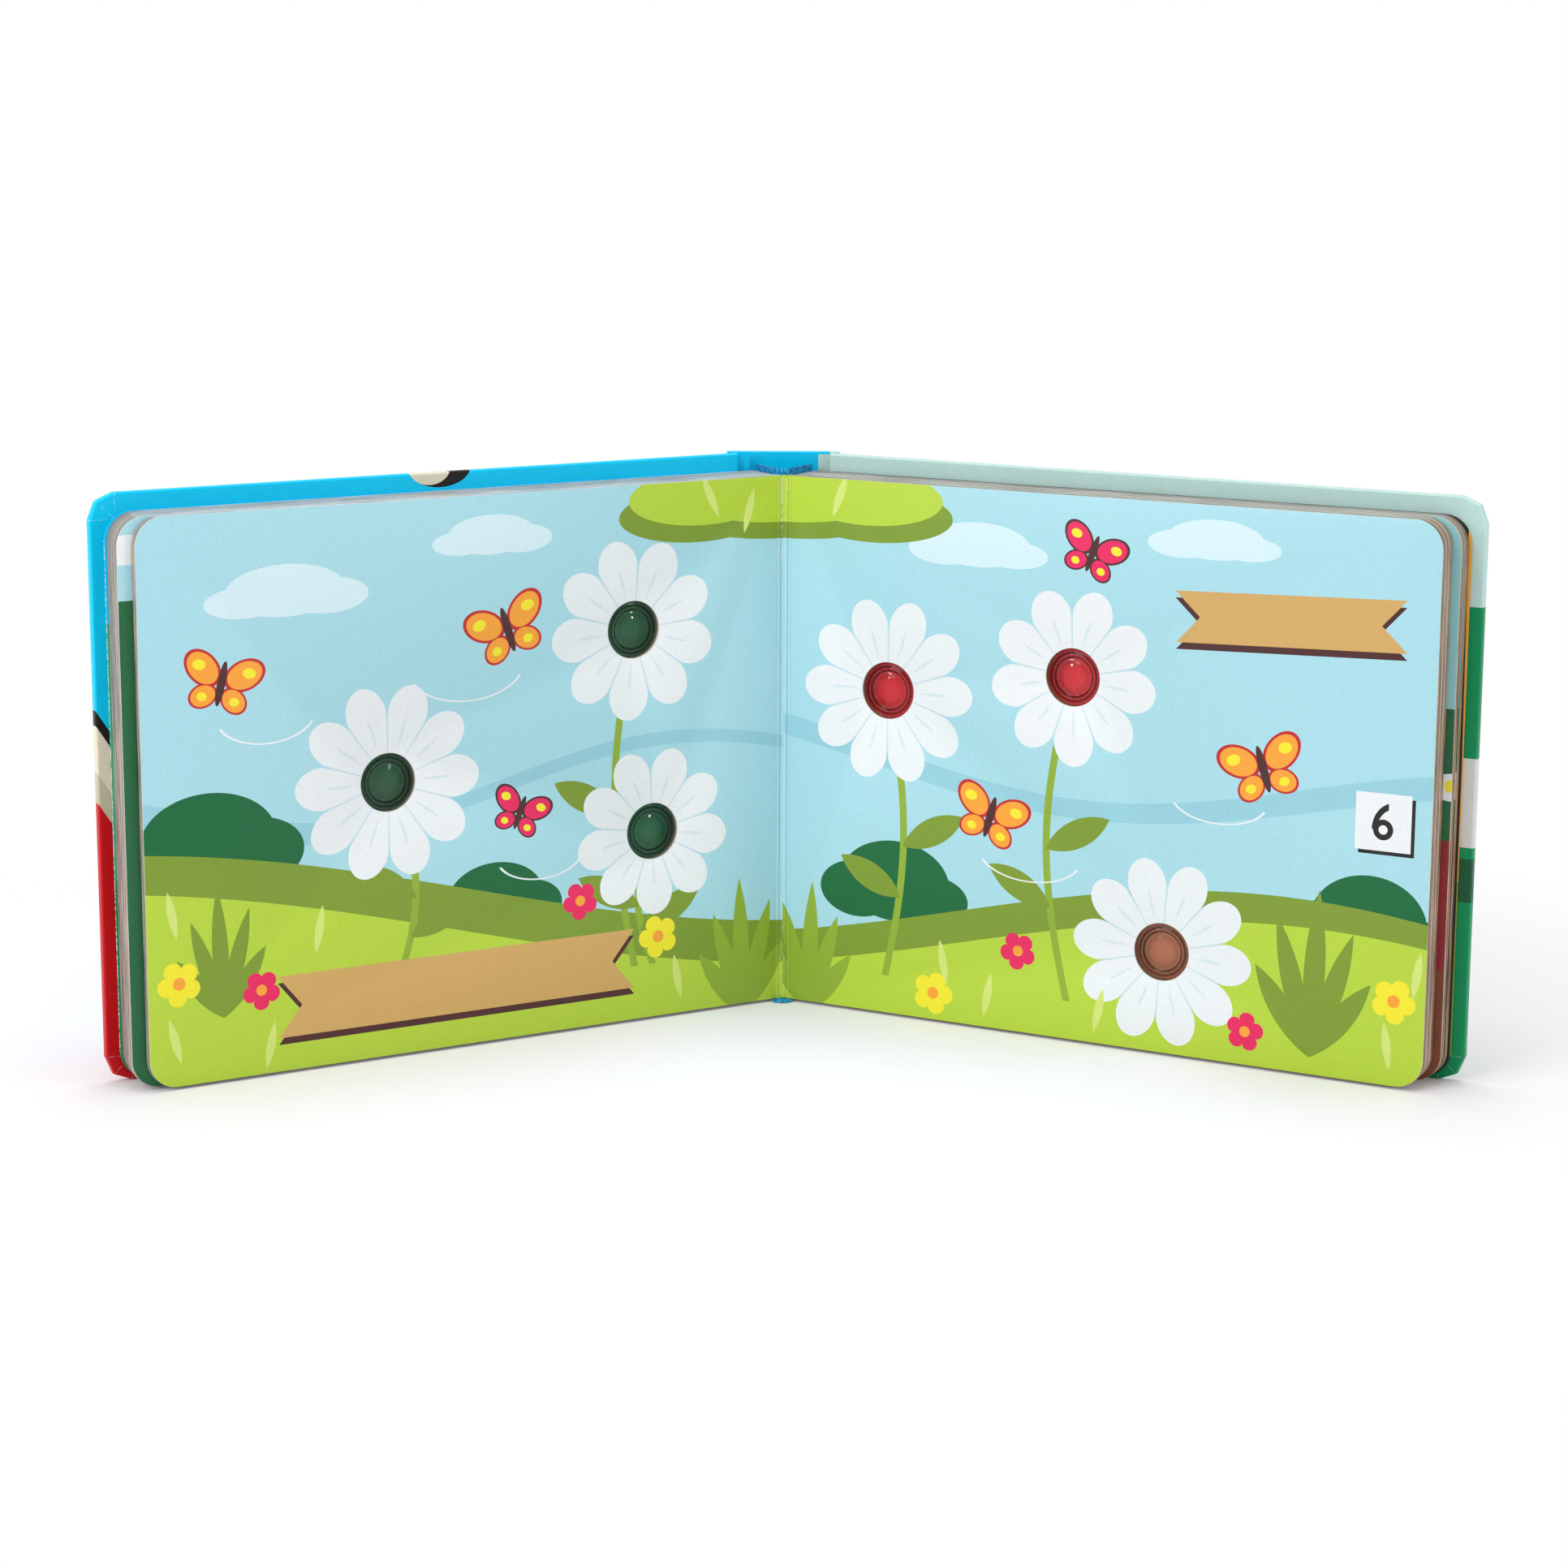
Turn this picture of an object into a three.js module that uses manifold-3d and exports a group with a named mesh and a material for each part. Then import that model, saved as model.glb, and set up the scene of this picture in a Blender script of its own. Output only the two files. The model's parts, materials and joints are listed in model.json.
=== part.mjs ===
// A board book with clear pop buttons, standing open on its lower edges.
// Two thick covers, each with a pile of rigid leaves glued to it, swing about the two score lines
// of the centre spread, and the hollow spine is thrown back behind them. Units are millimetres,
// +Z is up, and the reader looks along +Y. The origin is under the middle of the standing book.
import * as THREE from "three";
import { mergeVertices } from "three/addons/utils/BufferGeometryUtils.js";
import Module from "manifold-3d";

const wasm = await Module();
wasm.setup();

// Opening
const halfAngle = THREE.MathUtils.degToRad(30); // each half, from the plane of the spine
const scoreSpacing = 1.6; // between the two score lines of the centre spread

// Leaves
const pageWidth = 250.3; // score line to the line that the fore-edges are set from
const pageHeight = 196;
const pageCornerRadius = 10;
const leafThickness = 3.3;
const leafGap = 0.5; // air between neighbouring leaves
const glueDepth = 5; // how far the leaves of a pile are glued together along the spine
// How far each leaf's fore-edge stands past pageWidth, from the top leaf to the last one
const frontForeEdges = [-1, 3.9, 3.3, 2.6, 1.8];
const backForeEdges = [-1, -1.2, -1.4, 1.5, 1.6];

// Binding
const layerGap = 0.3; // between glued layers
const topLeafSetback = 0.2; // score line to the top leaf's spine edge
const liningThickness = 1;
const liningRise = 2.3; // the lining stands above the pages' head
const liningDrop = 0.6; // and hangs below their foot
const foldClearance = 0.3; // centre fold to the score lines on both sides
const foldThickness = 1.4;

// Covers and paste-downs
const headSquare = 6.3; // cover past the page at the head
const footSquare = 0.9; // the heavy pages have sagged almost to the table
const coverReach = 257.4; // score line to the cover's fore-edge
const coverStart = 7; // score line to the cover's spine edge
const coverThickness = 3.2;
const coverCornerRadius = 9;
const coverCornerFacets = 2; // the wrap is folded over each corner in flat facets
const coverEdgeRounding = 0.6;
const pasteThickness = 0.5;
const pasteStart = 9;
const pasteReach = 252.8;

// Spine
const spineHalfWidth = 21;
const spineThickness = 3;
const spineSetback = 20; // score lines to the spine's inner face
const spineCornerRadius = 1.5;
const jointFlapThickness = 0.5; // the wrap that turns forward to meet the covers
const jointFlapClearance = 0.9;

// Pop buttons
const holeRadius = 10.35;
const buttonClearance = 0.4;
const filmThickness = 0.4;
const rimWidth = 1.1;
const rimDepth = 1.5; // page face to the button's flat rim
const ridgeWidth = 1.1;
const ridgeDepth = 1.1;
const ringShoulder = 0.4; // slope from the ring down to the groove and the rim
const grooveWidth = 0.9;
const coneTipRadius = 1.3;
const coneTipDepth = 0.45;
const coneTipDrop = 0.12; // the tip is slightly domed

// Centres of the buttons on the top leaf of each half, from the score line and the page's foot
const frontButtons = {
  front_upper_button: [61.8, 144],
  front_outer_button: [159, 98],
  front_lower_button: [54.3, 69.5],
};
const backButtons = {
  back_upper_button: [42.3, 120.3],
  back_outer_button: [115.4, 131.6],
  back_lower_button: [151.8, 36.6],
};

// Facets
const cornerSegments = 8;
const roundSegments = 48;

// Worked out from the sizes above
const coverHeight = pageHeight + headSquare + footSquare;
const pageFoot = footSquare;
const leafPitch = leafThickness + leafGap;
const pileThickness = frontForeEdges.length * leafPitch - leafGap;
const liningStart = layerGap;
const pileStart = liningStart + liningThickness + layerGap;
const pasteFront = pileThickness + layerGap;
const coverFront = pasteFront + pasteThickness + layerGap;
const coverBack = coverFront + coverThickness;
const spineBack = spineSetback + spineThickness;
const buttonRadius = holeRadius - buttonClearance;

const board = (color) => new THREE.MeshStandardMaterial({ color, roughness: 0.45, metalness: 0 });
const printedPage = board(0xa5d5e0);
const blueWrap = board(0x00a9dc);
const paleGreenWrap = board(0xa9c9c2);
const greenPaste = board(0x2fa06a);
const orangePaste = board(0xe59a2c);
const liningPaper = new THREE.MeshStandardMaterial({ color: 0x0f6fa0, roughness: 0.9, metalness: 0 });
const clearFilm = new THREE.MeshStandardMaterial({
  color: 0xe6eeec,
  roughness: 0.08,
  metalness: 0,
  transparent: true,
  opacity: 0.3,
});

// A closed three.js geometry as a solid that can be joined and cut.
function toSolid(geometry) {
  const positions = geometry.clone();
  positions.deleteAttribute("normal");
  positions.deleteAttribute("uv");
  const merged = mergeVertices(positions, 1e-4);
  return new wasm.Manifold(
    new wasm.Mesh({
      numProp: 3,
      vertProperties: merged.attributes.position.array,
      triVerts: new Uint32Array(merged.index.array),
    }),
  );
}

function toGeometry(solid) {
  const mesh = solid.getMesh();
  const geometry = new THREE.BufferGeometry();
  geometry.setAttribute("position", new THREE.BufferAttribute(mesh.vertProperties, 3));
  geometry.setIndex(new THREE.BufferAttribute(mesh.triVerts, 1));
  geometry.computeVertexNormals();
  return geometry;
}

function part(name, geometry, material) {
  const mesh = new THREE.Mesh(geometry, material);
  mesh.name = name;
  return mesh;
}

// In each half's own frame X runs across the page, negative on the reader's left, Y goes back
// from the page face, and Z is up. side is -1 for the front half and 1 for the back half.

// A leaf or cover from start to reach: square at the spine, with corners cut at the fore-edge.
function leafOutline(side, start, reach, foot, height, radius, segments) {
  const points = [new THREE.Vector2(side * start, foot + height), new THREE.Vector2(side * start, foot)];
  const corner = (centreUp, from) => {
    for (let i = 0; i <= segments; i += 1) {
      const angle = from + ((Math.PI / 2) * i) / segments;
      const across = reach - radius + radius * Math.cos(angle);
      points.push(new THREE.Vector2(side * across, centreUp + radius * Math.sin(angle)));
    }
  };
  corner(foot + radius, -Math.PI / 2);
  corner(foot + height - radius, 0);
  return new THREE.Shape(points);
}

// An upright slab of that outline, from front to front + thickness behind the page face.
function slab(outline, front, thickness, rounding = 0) {
  const geometry = new THREE.ExtrudeGeometry(outline, {
    depth: thickness - 2 * rounding,
    bevelEnabled: rounding > 0,
    bevelSize: rounding,
    bevelOffset: -rounding,
    bevelThickness: rounding,
    bevelSegments: 2,
  });
  geometry.rotateX(Math.PI / 2);
  geometry.translate(0, front + thickness - rounding, 0);
  return geometry;
}

// A box between two distances across the page and two behind its face, as high as the page.
function pageHighStrip(side, start, end, front, back, rise = 0, drop = 0) {
  const height = pageHeight + rise + drop;
  const strip = new THREE.BoxGeometry(end - start, back - front, height);
  strip.translate((side * (start + end)) / 2, (front + back) / 2, pageFoot - drop + height / 2);
  return strip;
}

// One pile: leaves with air between them, glued together along the spine. The top leaf reaches
// the score line over the lining's edge, and has a round hole for each button.
function pageGeometry(side, foreEdges, buttons) {
  let pile = toSolid(pageHighStrip(side, pileStart, pileStart + glueDepth, 0, pileThickness));
  foreEdges.forEach((step, i) => {
    const start = i === 0 ? topLeafSetback : pileStart;
    const reach = pageWidth + step;
    const outline = leafOutline(side, start, reach, pageFoot, pageHeight, pageCornerRadius, cornerSegments);
    pile = pile.add(toSolid(slab(outline, i * leafPitch, leafThickness)));
  });
  for (const [across, up] of Object.values(buttons)) {
    const drill = new THREE.CylinderGeometry(holeRadius, holeRadius, leafThickness + leafGap, roundSegments);
    drill.translate(side * across, leafThickness / 2, pageFoot + up);
    pile = pile.subtract(toSolid(drill));
  }
  return toGeometry(pile);
}

// A clear button of one even film, from the middle outwards: a low cone that points at the
// reader until it is pressed, a groove, a raised ring and a flat rim.
function buttonGeometry() {
  const rimInner = buttonRadius - rimWidth;
  const ridgeOuter = rimInner - ringShoulder;
  const ridgeInner = ridgeOuter - ridgeWidth;
  const grooveOuter = ridgeInner - ringShoulder;
  const facing = [
    [0, coneTipDepth],
    [coneTipRadius, coneTipDepth + coneTipDrop],
    [grooveOuter - grooveWidth, rimDepth],
    [grooveOuter, rimDepth],
    [ridgeInner, ridgeDepth],
    [ridgeOuter, ridgeDepth],
    [rimInner, rimDepth],
    [buttonRadius, rimDepth],
  ];
  const points = facing.map(([r, depth]) => new THREE.Vector2(r, depth));
  for (const [r, depth] of [...facing].reverse()) {
    points.push(new THREE.Vector2(r, depth + filmThickness));
  }
  return new THREE.LatheGeometry(points, roundSegments);
}

function addButtons(half, side, buttons) {
  for (const [name, [across, up]] of Object.entries(buttons)) {
    const button = part(name, buttonGeometry(), clearFilm);
    button.position.set(side * across, 0, pageFoot + up);
    half.add(button);
  }
}

function coverGeometry(side) {
  const outline = leafOutline(side, coverStart, coverReach, 0, coverHeight, coverCornerRadius, coverCornerFacets);
  return slab(outline, coverFront, coverThickness, coverEdgeRounding);
}

function pasteGeometry(side) {
  const outline = leafOutline(
    side,
    pasteStart,
    pasteReach,
    pageFoot,
    pageHeight,
    pageCornerRadius,
    cornerSegments,
  );
  return slab(outline, pasteFront, pasteThickness);
}

// The strip of lining paper glued over the spine edges of a pile, behind its top leaf.
function liningGeometry(side) {
  const end = liningStart + liningThickness;
  return pageHighStrip(side, liningStart, end, leafPitch, pileThickness, liningRise, liningDrop);
}

// Depth of the covers' outer faces at a distance from the centre plane, in the book's frame.
function coverFaceAt(across) {
  const along = (across - scoreSpacing / 2 - coverBack * Math.sin(halfAngle)) / Math.cos(halfAngle);
  return coverBack * Math.cos(halfAngle) - along * Math.sin(halfAngle);
}

// The spine board with its wrap, which turns forward at both edges towards the covers.
function spineGeometry() {
  const flapInner = spineHalfWidth - jointFlapThickness;
  const flapEnd = coverFaceAt(flapInner) + jointFlapClearance / Math.cos(halfAngle);
  const r = spineCornerRadius;
  const profile = new THREE.Shape();
  profile.moveTo(spineHalfWidth, flapEnd);
  profile.lineTo(spineHalfWidth, spineBack - r);
  profile.absarc(spineHalfWidth - r, spineBack - r, r, 0, Math.PI / 2, false);
  profile.lineTo(-spineHalfWidth + r, spineBack);
  profile.absarc(-spineHalfWidth + r, spineBack - r, r, Math.PI / 2, Math.PI, false);
  profile.lineTo(-spineHalfWidth, flapEnd);
  profile.lineTo(-flapInner, flapEnd);
  profile.lineTo(-flapInner, spineSetback);
  profile.lineTo(flapInner, spineSetback);
  profile.lineTo(flapInner, flapEnd);
  return new THREE.ExtrudeGeometry(profile, {
    depth: coverHeight,
    bevelEnabled: false,
    curveSegments: cornerSegments,
  });
}

// The narrow strip of the centre spread that stays between its two score lines.
function foldGeometry() {
  const fold = new THREE.BoxGeometry(scoreSpacing - 2 * foldClearance, foldThickness, pageHeight);
  fold.translate(0, foldClearance + foldThickness / 2, pageFoot + pageHeight / 2);
  return fold;
}

// One half of the book: its frame stands on its score line and is turned to the opening angle.
function addHalf(book, prefix, side, foreEdges, buttons, wrap, paste) {
  const half = new THREE.Group();
  half.position.x = (side * scoreSpacing) / 2;
  half.rotation.z = -side * halfAngle;
  half.add(part(`${prefix}_cover`, coverGeometry(side), wrap));
  half.add(part(`${prefix}_paste_down`, pasteGeometry(side), paste));
  half.add(part(`${prefix}_pages`, pageGeometry(side, foreEdges, buttons), printedPage));
  half.add(part(`${prefix}_spine_lining`, liningGeometry(side), liningPaper));
  addButtons(half, side, buttons);
  book.add(half);
}

const book = new THREE.Group();
addHalf(book, "front", -1, frontForeEdges, frontButtons, blueWrap, greenPaste);
addHalf(book, "back", 1, backForeEdges, backButtons, paleGreenWrap, orangePaste);
book.add(part("spine", spineGeometry(), blueWrap));
book.add(part("centre_fold", foldGeometry(), printedPage));
book.updateMatrixWorld(true);
book.position.y = -new THREE.Box3().setFromObject(book, true).getCenter(new THREE.Vector3()).y;

const root = new THREE.Group();
root.add(book);

export default root;
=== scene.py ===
# %% [markdown]
# # A board book with clear pop buttons
# The book stands open like a V on its lower edges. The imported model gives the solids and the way
# they move. This script dresses them: rounded board, printed pages, clear formed film, a textured
# lining and a laminated cover wrap. Everything is in metres, with Z up and the reader looking
# along +Y.

# %% Load the frame
import json
import math

import bmesh
import bpy
from mathutils import Matrix, Vector


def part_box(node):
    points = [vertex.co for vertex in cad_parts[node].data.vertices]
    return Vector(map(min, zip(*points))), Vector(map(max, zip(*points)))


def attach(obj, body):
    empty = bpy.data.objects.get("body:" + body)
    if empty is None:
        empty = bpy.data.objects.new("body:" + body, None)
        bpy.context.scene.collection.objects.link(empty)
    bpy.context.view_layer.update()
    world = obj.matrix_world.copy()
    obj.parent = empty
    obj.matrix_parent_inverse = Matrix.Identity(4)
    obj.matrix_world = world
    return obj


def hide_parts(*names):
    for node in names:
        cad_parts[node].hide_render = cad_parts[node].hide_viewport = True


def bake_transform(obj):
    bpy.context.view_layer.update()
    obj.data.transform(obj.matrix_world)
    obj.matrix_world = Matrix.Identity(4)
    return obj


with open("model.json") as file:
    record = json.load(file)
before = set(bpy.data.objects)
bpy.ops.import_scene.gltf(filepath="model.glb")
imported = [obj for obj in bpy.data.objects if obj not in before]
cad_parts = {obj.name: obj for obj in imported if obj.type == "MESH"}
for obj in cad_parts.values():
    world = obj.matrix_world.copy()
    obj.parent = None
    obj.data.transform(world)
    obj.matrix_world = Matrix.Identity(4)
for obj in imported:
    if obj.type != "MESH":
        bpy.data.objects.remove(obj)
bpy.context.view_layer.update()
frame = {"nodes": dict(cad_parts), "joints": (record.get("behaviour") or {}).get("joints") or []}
joints = {joint["name"]: joint for joint in frame["joints"]}
MM = 0.001

# %% [markdown]
# ## Where the two halves stand
# Each half turns about its own score line in the gutter. A half is easiest to model lying in its
# own frame: X across the page, Y back through the leaves and Z up. The joints say where that
# frame stands and how far it is turned, so nothing is measured twice.

# %% The halves' own frames
FRONT, BACK = -1, 1
BODY = {FRONT: "front_half", BACK: "back_half"}
PREFIX = {FRONT: "front", BACK: "back"}
half_angle = math.asin(joints["back_upper_press"]["axis"][0])
score_y = joints["back_gutter"]["pos_m"][1]
score_x = joints["back_gutter"]["pos_m"][0]
page_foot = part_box("back_pages")[0].z
page_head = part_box("back_pages")[1].z


def half_frame(side):
    """The matrix from a half's own frame to the book's frame."""
    turn = Matrix.Rotation(-side * half_angle, 4, "Z")
    return Matrix.Translation((side * score_x, score_y, 0)) @ turn


def measured(node, side):
    """A node's points as (across the page, depth behind its face, height)."""
    back = half_frame(side).inverted()
    points = [back @ v.co for v in frame["nodes"][node].data.vertices]
    return [(side * p.x, p.y, p.z) for p in points]


print("each half is turned", round(math.degrees(half_angle), 2), "degrees")

# %% [markdown]
# ## The camera
# The photograph looks a little down on the book from straight in front, with a long lens. A
# camera far away with a long lens keeps the two pages from flaring the way a wide lens would.

# %% The camera
VIEW_DISTANCE = 1.3774
VIEW_DOWN = math.radians(11.502)
VIEW_YAW = math.radians(1.064)
VIEW_ROLL = math.radians(0.282)
LOOK_AT = Vector((0.00036, score_y + 0.0005, page_foot + 0.08137))
LENS_MM = 85.56

forward = Vector(
    (
        math.sin(VIEW_YAW) * math.cos(VIEW_DOWN),
        math.cos(VIEW_YAW) * math.cos(VIEW_DOWN),
        -math.sin(VIEW_DOWN),
    )
)
bpy.ops.object.camera_add(location=LOOK_AT - forward * VIEW_DISTANCE)
camera = bpy.context.object
camera.rotation_mode = "QUATERNION"
roll = Matrix.Rotation(VIEW_ROLL, 4, "Z").to_quaternion()
camera.rotation_quaternion = forward.to_track_quat("-Z", "Y") @ roll
camera.data.lens = LENS_MM
camera.data.clip_end = 20
bpy.context.scene.camera = camera
print("camera at", [round(x, 3) for x in camera.location])

# %% [markdown]
# ## Small helpers
# Materials are built as node trees. `feed` adds one node and joins its inputs, so that a recipe
# reads from top to bottom. Inks are given as the eye sees them, from 0 to 255, and Blender wants
# them linear.

# %% Node and ink helpers


def ink(red, green, blue):
    """A printed colour as Blender's linear colour."""
    shares = [c / 255 for c in (red, green, blue)]
    linear = [c / 12.92 if c <= 0.04045 else ((c + 0.055) / 1.055) ** 2.4 for c in shares]
    return (*linear, 1.0)


def feed(tree, kind, *inputs, out=0, **settings):
    """Adds a node, sets it up, joins or fills its inputs in order and gives one output."""
    node = tree.nodes.new("ShaderNode" + kind)
    for name, value in settings.items():
        setattr(node, name, value)
    for socket, value in zip(node.inputs, inputs):
        if isinstance(value, bpy.types.NodeSocket):
            tree.links.new(value, socket)
        elif value is not None:
            socket.default_value = value
    return node.outputs[out]


def calc(tree, operation, *inputs):
    return feed(tree, "Math", *inputs, operation=operation)


def lay(tree, under, mask, over):
    """Prints one ink over another where the mask is 1."""
    mix = tree.nodes.new("ShaderNodeMix")
    mix.data_type = "RGBA"
    for socket, value in ((mix.inputs[0], mask), (mix.inputs[6], under), (mix.inputs[7], over)):
        if isinstance(value, bpy.types.NodeSocket):
            tree.links.new(value, socket)
        else:
            socket.default_value = value
    return mix.outputs[2]


def new_material(name):
    """An empty material, its tree and its Principled shader."""
    material = bpy.data.materials.new(name)
    material.use_nodes = True
    tree = material.node_tree
    return material, tree, tree.nodes["Principled BSDF"]


def roughen(tree, shader, height, strength, distance):
    """Joins a height to the shader as a bump."""
    bump = tree.nodes.new("ShaderNodeBump")
    bump.inputs["Strength"].default_value = strength
    bump.inputs["Distance"].default_value = distance
    tree.links.new(height, bump.inputs["Height"])
    tree.links.new(bump.outputs[0], shader.inputs["Normal"])


def finish_board(tree, shader, colour, roughness, bump=0.05, grain=900.0, gleam=0.35):
    """Joins a colour to the shader with the faint tooth of coated board."""
    place = tree.nodes.new("ShaderNodeTexCoord").outputs["Object"]
    tooth = feed(tree, "TexNoise", place, None, grain, 3.0, 0.6)
    smudge = feed(tree, "TexNoise", place, None, 14.0, 3.0, 0.5)
    gloss = feed(tree, "MapRange", smudge, 0.3, 0.7, roughness - 0.05, roughness + 0.06)
    tree.links.new(gloss, shader.inputs["Roughness"])
    tint = feed(tree, "MapRange", tooth, 0.25, 0.75, 0.955, 1.025)
    tinted = feed(tree, "VectorMath", colour, None, None, tint, operation="SCALE")
    tree.links.new(tinted, shader.inputs["Base Color"])
    shader.inputs["Specular IOR Level"].default_value = gleam
    roughen(tree, shader, tooth, bump, 0.0003)


# %% [markdown]
# ## A page as a drawing board
# The print is drawn by the material, in millimetres from the gutter and from the page's foot,
# because ink has no thickness. A Mapping node turns the book's coordinates into the page's own,
# and each motif is a distance from its own middle that is 1 at its edge.

# %% Page coordinates


class Sheet:
    """The page's coordinates in one material, in millimetres, and how its faces look."""

    def __init__(self, tree, side):
        coords = tree.nodes.new("ShaderNodeTexCoord")
        place = feed(
            tree,
            "Mapping",
            coords.outputs["Object"],
            (side * score_x, score_y, page_foot),
            (0, 0, -side * half_angle),
            (side * MM, MM, MM),
            vector_type="TEXTURE",
        )
        apart = tree.nodes.new("ShaderNodeSeparateXYZ")
        tree.links.new(place, apart.inputs[0])
        self.tree = tree
        self.across, self.depth, self.up = apart.outputs
        self.flat = feed(tree, "CombineXYZ", self.across, 0.0, self.up)
        inwards = (side * math.sin(half_angle), math.cos(half_angle), 0)
        turned = feed(
            tree,
            "VectorMath",
            coords.outputs["Normal"],
            inwards,
            operation="DOT_PRODUCT",
            out=1,
        )
        self.faces_reader = calc(tree, "LESS_THAN", turned, -0.6)


def local(sheet, across, up, wide, high, turn=0.0):
    """A motif's own coordinates: 0 in its middle and 1 at its reach, turned clockwise."""
    tree = sheet.tree
    c, s = math.cos(math.radians(turn)), math.sin(math.radians(turn))
    x = calc(tree, "MULTIPLY_ADD", sheet.across, c / wide, (up * s - across * c) / wide)
    z = calc(tree, "MULTIPLY_ADD", sheet.up, c / high, -(up * c + across * s) / high)
    if turn:
        x = calc(tree, "MULTIPLY_ADD", sheet.up, -s / wide, x)
        z = calc(tree, "MULTIPLY_ADD", sheet.across, s / high, z)
    return x, z


def squared(sheet, x, z):
    return calc(sheet.tree, "MULTIPLY_ADD", x, x, calc(sheet.tree, "MULTIPLY", z, z))


def oval(sheet, across, up, wide, high, turn=0.0):
    """The squared distance from an oval's middle, which is 1 at its edge."""
    return squared(sheet, *local(sheet, across, up, wide, high, turn))


def union(sheet, *shapes):
    made = shapes[0]
    for shape in shapes[1:]:
        made = calc(sheet.tree, "MINIMUM", made, shape)
    return made


def inside(sheet, shape, edge=1.0):
    return calc(sheet.tree, "LESS_THAN", shape, edge)


def both(sheet, one, other):
    return calc(sheet.tree, "MULTIPLY", one, other)


def below(sheet, height, swell, length, start):
    """Everything under a rolling line."""
    wave = calc(sheet.tree, "MULTIPLY_ADD", sheet.across, 1 / length, start)
    line = calc(sheet.tree, "MULTIPLY_ADD", calc(sheet.tree, "SINE", wave), swell, height)
    return calc(sheet.tree, "LESS_THAN", sheet.up, line)


# %% [markdown]
# ## The motifs
# The spread is a meadow: tall white daisies with a pop button in the middle of each, rolling
# hills, round bushes, butterflies, small blossoms, grass, clouds and plain tan ribbons. A daisy
# is a circle whose edge swells with the angle, so its petals come from one formula. A pointed
# leaf is where two ovals overlap.

# %% Inks
SKY = ink(164, 213, 223)
HAZE = ink(146, 200, 213)
CLOUD = ink(206, 231, 237)
LIME = ink(178, 207, 58)
PALE_LIME = ink(206, 222, 118)
OLIVE = ink(122, 150, 42)
LEAF = ink(140, 170, 48)
BOTTLE = ink(0, 100, 52)
WHITE = ink(228, 233, 235)
SHADE = ink(196, 218, 226)
ORANGE = ink(242, 158, 50)
RED = ink(190, 30, 40)
PINK = ink(226, 30, 92)
YELLOW = ink(238, 226, 40)
TAN = ink(204, 164, 96)
BROWN = ink(74, 34, 34)
BLACK = ink(28, 27, 25)

# %% Plants
STROKE_MIDDLE = 0.52  # shares of a petal's length
STROKE_HALF = 0.15
BLADES = (  # lean in degrees, share of the tallest blade, width as a share of it
    (-34, 0.62, 0.14),
    (-15, 0.85, 0.13),
    (2, 1.0, 0.13),
    (18, 0.8, 0.13),
    (37, 0.6, 0.14),
)


def pointed(sheet, across, up, long, wide, turn):
    """A pointed leaf, standing when turn is 0, as the overlap of two circles."""
    radius = (long**2 + wide**2) / (4 * wide)
    lean = math.radians(turn)
    shapes = []
    for sign in (-1, 1):
        push = sign * (radius - wide / 2)
        middle = (across + push * math.cos(lean), up - push * math.sin(lean))
        shapes.append(oval(sheet, *middle, radius, radius))
    return calc(sheet.tree, "MAXIMUM", *shapes)


def stem(sheet, paper, across, foot, top, bend):
    """A bent stalk with two pointed leaves."""
    tree = sheet.tree
    share = math.pi / (top - foot)
    rise = calc(tree, "MULTIPLY_ADD", sheet.up, share, -foot * share)
    line = calc(tree, "MULTIPLY_ADD", calc(tree, "SINE", rise), bend, across)
    near = calc(tree, "COMPARE", sheet.across, line, 1.4)
    under = calc(tree, "LESS_THAN", sheet.up, top)
    above = calc(tree, "GREATER_THAN", sheet.up, foot)
    paper = lay(tree, paper, both(sheet, both(sheet, near, under), above), LEAF)
    for sign, rise_share in ((-1, 0.30), (1, 0.48)):
        height = foot + (top - foot) * rise_share
        middle = across + bend * math.sin(math.pi * rise_share) + sign * 12
        leaf = pointed(sheet, middle, height + 5, 28, 10, sign * 62)
        paper = lay(tree, paper, inside(sheet, leaf), OLIVE)
    return paper


def daisy(sheet, paper, across, up, radius, petals, turn, colour=WHITE, shade=SHADE):
    """Petals round a middle, with a soft stroke between neighbours."""
    tree = sheet.tree
    x, z = local(sheet, across, up, radius, radius, turn)
    out = calc(tree, "SQRT", squared(sheet, x, z))
    angle = calc(tree, "ARCTAN2", z, x)
    swing = calc(tree, "ABSOLUTE", calc(tree, "COSINE", calc(tree, "MULTIPLY", angle, petals / 2)))
    swell = calc(tree, "MULTIPLY_ADD", calc(tree, "POWER", swing, 0.55), 0.36, 0.64)
    shape = inside(sheet, calc(tree, "DIVIDE", out, swell))
    paper = lay(tree, paper, shape, colour)
    if shade is None:
        return paper
    seam = both(sheet, calc(tree, "LESS_THAN", swing, 0.09), shape)
    paper = lay(tree, paper, seam, shade)
    from_middle = calc(tree, "ABSOLUTE", calc(tree, "ADD", out, -STROKE_MIDDLE))
    taper = calc(tree, "MULTIPLY_ADD", from_middle, 0.09, 0.986)
    narrow = calc(tree, "GREATER_THAN", swing, taper)
    stroke = both(sheet, narrow, calc(tree, "COMPARE", out, STROKE_MIDDLE, STROKE_HALF))
    return lay(tree, paper, both(sheet, stroke, 0.6), shade)


def daisies(sheet, paper, side, foot, flowers):
    """A daisy round each button, over the stalks of those that have a bend."""
    spots = {name: button_spot(name, side) for name in flowers}
    for name, (across, up) in spots.items():
        bend = flowers[name][0]
        if bend is not None:
            paper = stem(sheet, paper, across, foot, up, bend)
    for name, (across, up) in spots.items():
        paper = daisy(sheet, paper, across, up, *flowers[name][1])
    return paper


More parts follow.
